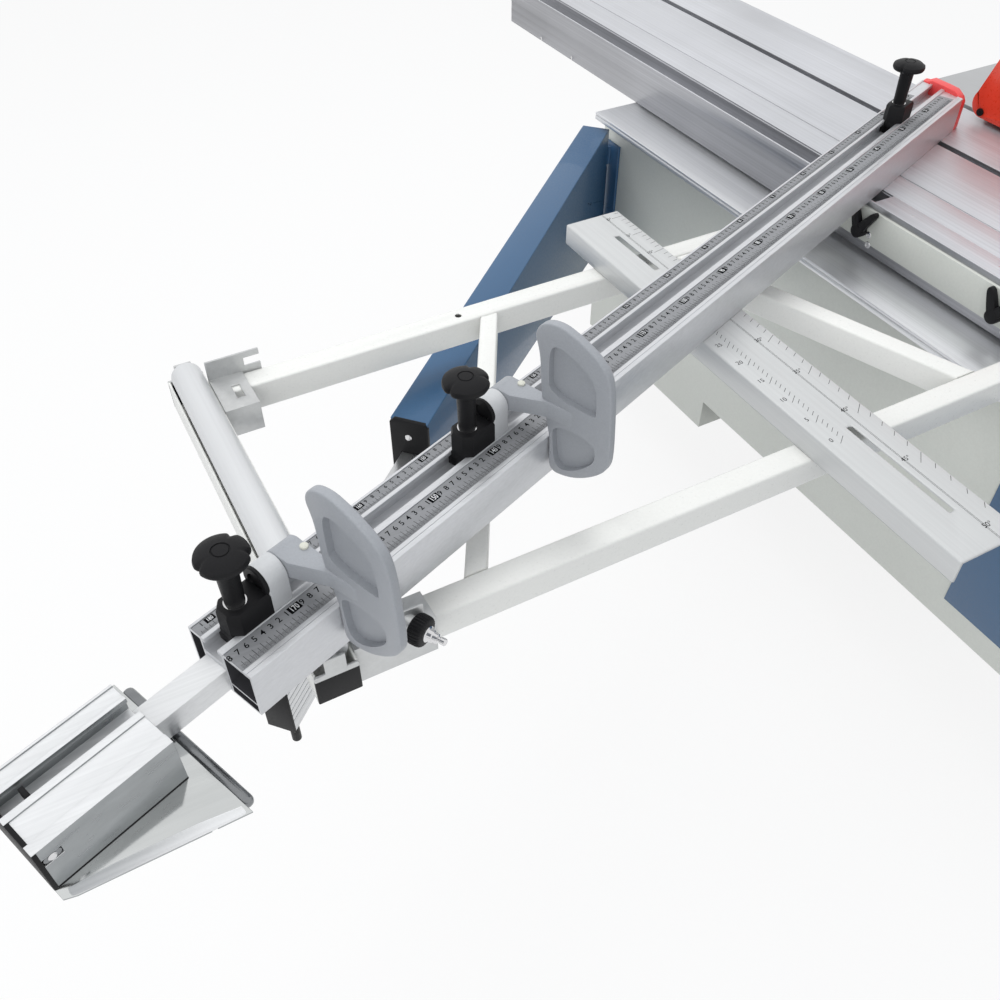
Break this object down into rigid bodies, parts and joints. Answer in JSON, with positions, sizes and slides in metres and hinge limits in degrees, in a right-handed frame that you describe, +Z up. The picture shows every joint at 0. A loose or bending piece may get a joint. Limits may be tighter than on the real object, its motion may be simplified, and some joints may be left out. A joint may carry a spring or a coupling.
{
  "type": "sliding table saw",
  "caption": "Panel saw with a long sliding table, an outrigger frame, an angled crosscut fence with flip stops, a telescopic swing arm and a tilting blade.",
  "frame": {"origin": "on the floor, straight under the middle of the saw blade, on the underside of the floor plate", "axes": "+X to the rip fence side, +Y away from the operator along the cut, +Z up"},
  "size_m": [2.9253, 2.64, 1.097],
  "materials": {
    "body_paint": "satin",
    "tube_paint": "satin",
    "blue_paint": "satin",
    "guard_paint": "satin",
    "dark_paint": "satin",
    "alu": "satin",
    "steel": "satin",
    "cast": "satin",
    "black_plastic": "matte",
    "salmon_plastic": "satin",
    "green_plastic": "satin",
    "red_plastic": "satin",
    "belt_rubber": "matte",
    "paddle": "satin"
  },
  "bodies": {
    "machine": {"base_frame": "dark_paint", "beam_housing": "body_paint", "cabinet": "body_paint", "front_cover": "blue_paint", "beam_rail": "alu", "guide_rods": "steel", "main_table": "cast", "extension_table": "body_paint", "rip_bar": "steel", "dust_port": "black_plastic", "control_box": "black_plastic", "trunnions": "cast", "arm_hinge": "blue_paint"},
    "door": {"cabinet_door": "body_paint"},
    "start": {"start_button": "green_plastic"},
    "stop": {"stop_button": "red_plastic"},
    "rise_wheel": {"rise_handwheel": "black_plastic"},
    "tilt_wheel": {"tilt_handwheel": "black_plastic"},
    "cradle": {"tilt_cradle": "dark_paint"},
    "saw_unit": {"rise_slide": "cast", "motor": "dark_paint", "riving_knife": "steel", "drive_belt": "belt_rubber"},
    "guard_mount": {"guard_screw": "black_plastic"},
    "guard": {"blade_guard": "guard_paint"},
    "spindle": {"saw_blade": "steel", "arbor": "steel"},
    "motor_rotor": {"motor_pulley": "steel"},
    "rip_fence": {"rip_fence_head": "cast", "rip_fence_face": "alu"},
    "carriage": {"sliding_table": "alu", "edge_strip": "alu"},
    "outrigger": {"side_plate": "body_paint", "rear_tube": "tube_paint", "front_tube": "tube_paint", "frame_braces": "tube_paint", "protractor_beam": "alu", "outer_beam": "tube_paint", "outer_beam_caps": "black_plastic", "rear_bracket": "steel", "front_bracket": "steel", "fence_pivot": "steel"},
    "lever_rear": {"clamp_lever_rear": "black_plastic"},
    "lever_front": {"clamp_lever_front": "black_plastic"},
    "roller": {"support_roller": "steel"},
    "plunger": {"index_plunger": "black_plastic"},
    "fence": {"fence_profile": "alu", "fence_end_cap": "salmon_plastic"},
    "extension": {"extension_bar": "alu", "extension_shoe": "alu"},
    "stop_a": {"stop_a_block": "black_plastic"},
    "flip_a": {"stop_a_arm": "paddle"},
    "knob_a": {"stop_a_knob": "black_plastic"},
    "stop_b": {"stop_b_block": "black_plastic"},
    "flip_b": {"stop_b_arm": "paddle"},
    "knob_b": {"stop_b_knob": "black_plastic"},
    "stop_c": {"inner_block": "black_plastic"},
    "knob_c": {"inner_knob": "black_plastic"},
    "arm": {"swing_arm": "blue_paint"},
    "arm_slide": {"arm_tube": "alu"}
  },
  "joints": [
    {"name": "table_travel", "type": "slide", "parent": "machine", "child": "carriage", "axis": [0, 1, 0], "range_m": [-1.25, 1.25]},
    {"name": "outrigger_travel", "type": "slide", "parent": "carriage", "child": "outrigger", "axis": [0, 1, 0], "range_m": [-0.2, 0.2]},
    {"name": "fence_turn", "type": "hinge", "parent": "outrigger", "child": "fence", "pos_m": [-0.163, 0.218, 0.88], "axis": [0, 0, 1], "range_deg": [-21.5, 23.5]},
    {"name": "extension_travel", "type": "slide", "parent": "fence", "child": "extension", "axis": [-0.9304, -0.3665, 0], "range_m": [-0.06, 0.6]},
    {"name": "stop_a_travel", "type": "slide", "parent": "fence", "child": "stop_a", "axis": [-0.9304, -0.3665, 0], "range_m": [-0.12, 0.01]},
    {"name": "stop_a_flip", "type": "hinge", "parent": "stop_a", "child": "flip_a", "pos_m": [-1.60661, -0.33793, 0.976], "axis": [-0.9304, -0.3665, 0], "range_deg": [0, 110]},
    {"name": "stop_a_screw", "type": "hinge", "parent": "stop_a", "child": "knob_a", "pos_m": [-1.64847, -0.35442, 1.03], "axis": [0, 0, 1], "range_deg": [-180, 180]},
    {"name": "stop_b_travel", "type": "slide", "parent": "fence", "child": "stop_b", "axis": [-0.9304, -0.3665, 0], "range_m": [-0.7, 0.09]},
    {"name": "stop_b_flip", "type": "hinge", "parent": "stop_b", "child": "flip_b", "pos_m": [-1.29957, -0.21699, 0.976], "axis": [-0.9304, -0.3665, 0], "range_deg": [0, 110]},
    {"name": "stop_b_screw", "type": "hinge", "parent": "stop_b", "child": "knob_b", "pos_m": [-1.34144, -0.23348, 1.03], "axis": [0, 0, 1], "range_deg": [-180, 180]},
    {"name": "inner_stop_travel", "type": "slide", "parent": "fence", "child": "stop_c", "axis": [-0.9304, -0.3665, 0], "range_m": [-0.04, 0.3]},
    {"name": "inner_stop_screw", "type": "hinge", "parent": "stop_c", "child": "knob_c", "pos_m": [-0.28076, 0.18433, 1.03], "axis": [0, 0, 1], "range_deg": [-180, 180]},
    {"name": "roller_turn", "type": "hinge", "parent": "outrigger", "child": "roller", "pos_m": [-1.573, -0.1, 0.857], "axis": [0, 1, 0], "continuous": true},
    {"name": "plunger_pull", "type": "slide", "parent": "outrigger", "child": "plunger", "axis": [0.5, -0.866, 0], "range_m": [0, 0.008], "stiffness_N_per_m": 800, "springref_m": -0.01},
    {"name": "rear_lever_turn", "type": "hinge", "parent": "outrigger", "child": "lever_rear", "pos_m": [-0.445, 0.058, 0.831], "axis": [1, 0, 0], "range_deg": [0, 80]},
    {"name": "front_lever_turn", "type": "hinge", "parent": "outrigger", "child": "lever_front", "pos_m": [-0.445, -0.235, 0.831], "axis": [1, 0, 0], "range_deg": [0, 80]},
    {"name": "swing_arm_turn", "type": "hinge", "parent": "machine", "child": "arm", "pos_m": [-0.505, 0.76, 0.6], "axis": [0, 0, 1], "range_deg": [-60, 30]},
    {"name": "arm_telescope", "type": "slide", "parent": "arm", "child": "arm_slide", "axis": [-0.7373, -0.6756, 0], "range_m": [-0.3, 0.2]},
    {"name": "blade_tilt", "type": "hinge", "parent": "machine", "child": "cradle", "pos_m": [0, 0, 0.88], "axis": [0, 1, 0], "range_deg": [0, 45]},
    {"name": "tilt_wheel_turn", "type": "hinge", "parent": "machine", "child": "tilt_wheel", "pos_m": [0.13, -0.44, 0.6], "axis": [0, -1, 0], "continuous": true},
    {"name": "blade_rise", "type": "slide", "parent": "cradle", "child": "saw_unit", "axis": [0, 0, 1], "range_m": [-0.08, 0.005]},
    {"name": "rise_wheel_turn", "type": "hinge", "parent": "machine", "child": "rise_wheel", "pos_m": [-0.09, -0.44, 0.6], "axis": [0, -1, 0], "continuous": true},
    {"name": "spindle_turn", "type": "hinge", "parent": "saw_unit", "child": "spindle", "pos_m": [0, 0, 0.802], "axis": [1, 0, 0], "continuous": true},
    {"name": "motor_turn", "type": "hinge", "parent": "saw_unit", "child": "motor_rotor", "pos_m": [0.13, 0, 0.637], "axis": [1, 0, 0], "continuous": true},
    {"name": "guard_height", "type": "slide", "parent": "saw_unit", "child": "guard_mount", "axis": [0, 0, 1], "range_m": [-0.005, 0.08]},
    {"name": "guard_lift", "type": "hinge", "parent": "guard_mount", "child": "guard", "pos_m": [0, 0.196, 0.9], "axis": [-1, 0, 0], "range_deg": [0, 45]},
    {"name": "rip_fence_travel", "type": "slide", "parent": "machine", "child": "rip_fence", "axis": [1, 0, 0], "range_m": [-0.36, 0.42]},
    {"name": "door_turn", "type": "hinge", "parent": "machine", "child": "door", "pos_m": [0.479, 0.258, 0.55], "axis": [0, 0, 1], "range_deg": [0, 90]},
    {"name": "start_press", "type": "slide", "parent": "machine", "child": "start", "axis": [0, 1, 0], "range_m": [0, 0.004], "stiffness_N_per_m": 600, "springref_m": -0.004},
    {"name": "stop_press", "type": "slide", "parent": "machine", "child": "stop", "axis": [0, 1, 0], "range_m": [0, 0.004], "stiffness_N_per_m": 600, "springref_m": -0.004}
  ],
  "couplings": [
    {"joint": "tilt_wheel_turn", "follows": "blade_tilt", "ratio": 16},
    {"joint": "rise_wheel_turn", "follows": "blade_rise", "rad_per_m": 314.16},
    {"joint": "guard_height", "follows": "blade_rise", "ratio": -1},
    {"joint": "motor_turn", "follows": "spindle_turn", "ratio": 0.7619}
  ]
}
